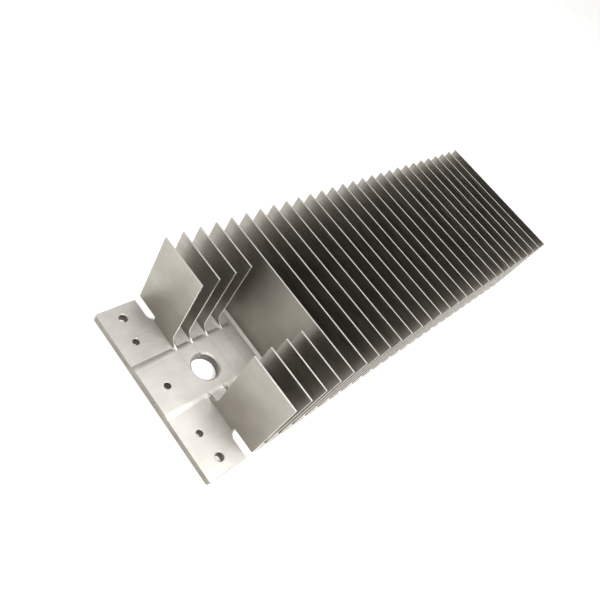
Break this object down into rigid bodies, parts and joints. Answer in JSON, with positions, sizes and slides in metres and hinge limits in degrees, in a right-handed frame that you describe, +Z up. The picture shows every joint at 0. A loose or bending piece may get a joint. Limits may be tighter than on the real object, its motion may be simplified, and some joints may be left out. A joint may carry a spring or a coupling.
{
  "type": "finned cooling plate",
  "caption": "Aluminium cooling plate of a micro inverter: a flat base with upright sheet fins and a drilled mounting flange with a cable hole at one end.",
  "frame": {"origin": "centre of the underside's outline", "axes": "+X from the mounting flange to the far end, +Y to the left seen from the mounting flange, +Z up from the underside along the fins"},
  "size_m": [0.312, 0.1, 0.055],
  "materials": {
    "base": "milled, satin",
    "fins": "rolled sheet, satin"
  },
  "bodies": {
    "root": {"base_plate": "base", "fin_01": "fins", "fin_02_left": "fins", "fin_02_right": "fins", "fin_03": "fins", "fin_04": "fins", "fin_05": "fins", "fin_06": "fins", "fin_07": "fins", "fin_08": "fins", "fin_09": "fins", "fin_10": "fins", "fin_11": "fins", "fin_12": "fins", "fin_13": "fins", "fin_14": "fins", "fin_15": "fins", "fin_16": "fins", "fin_17": "fins", "fin_18": "fins", "fin_19": "fins", "fin_20": "fins", "fin_21": "fins", "fin_22": "fins", "fin_23": "fins", "fin_24": "fins", "fin_25": "fins", "fin_26": "fins", "fin_27": "fins", "fin_28": "fins"}
  },
  "joints": []
}
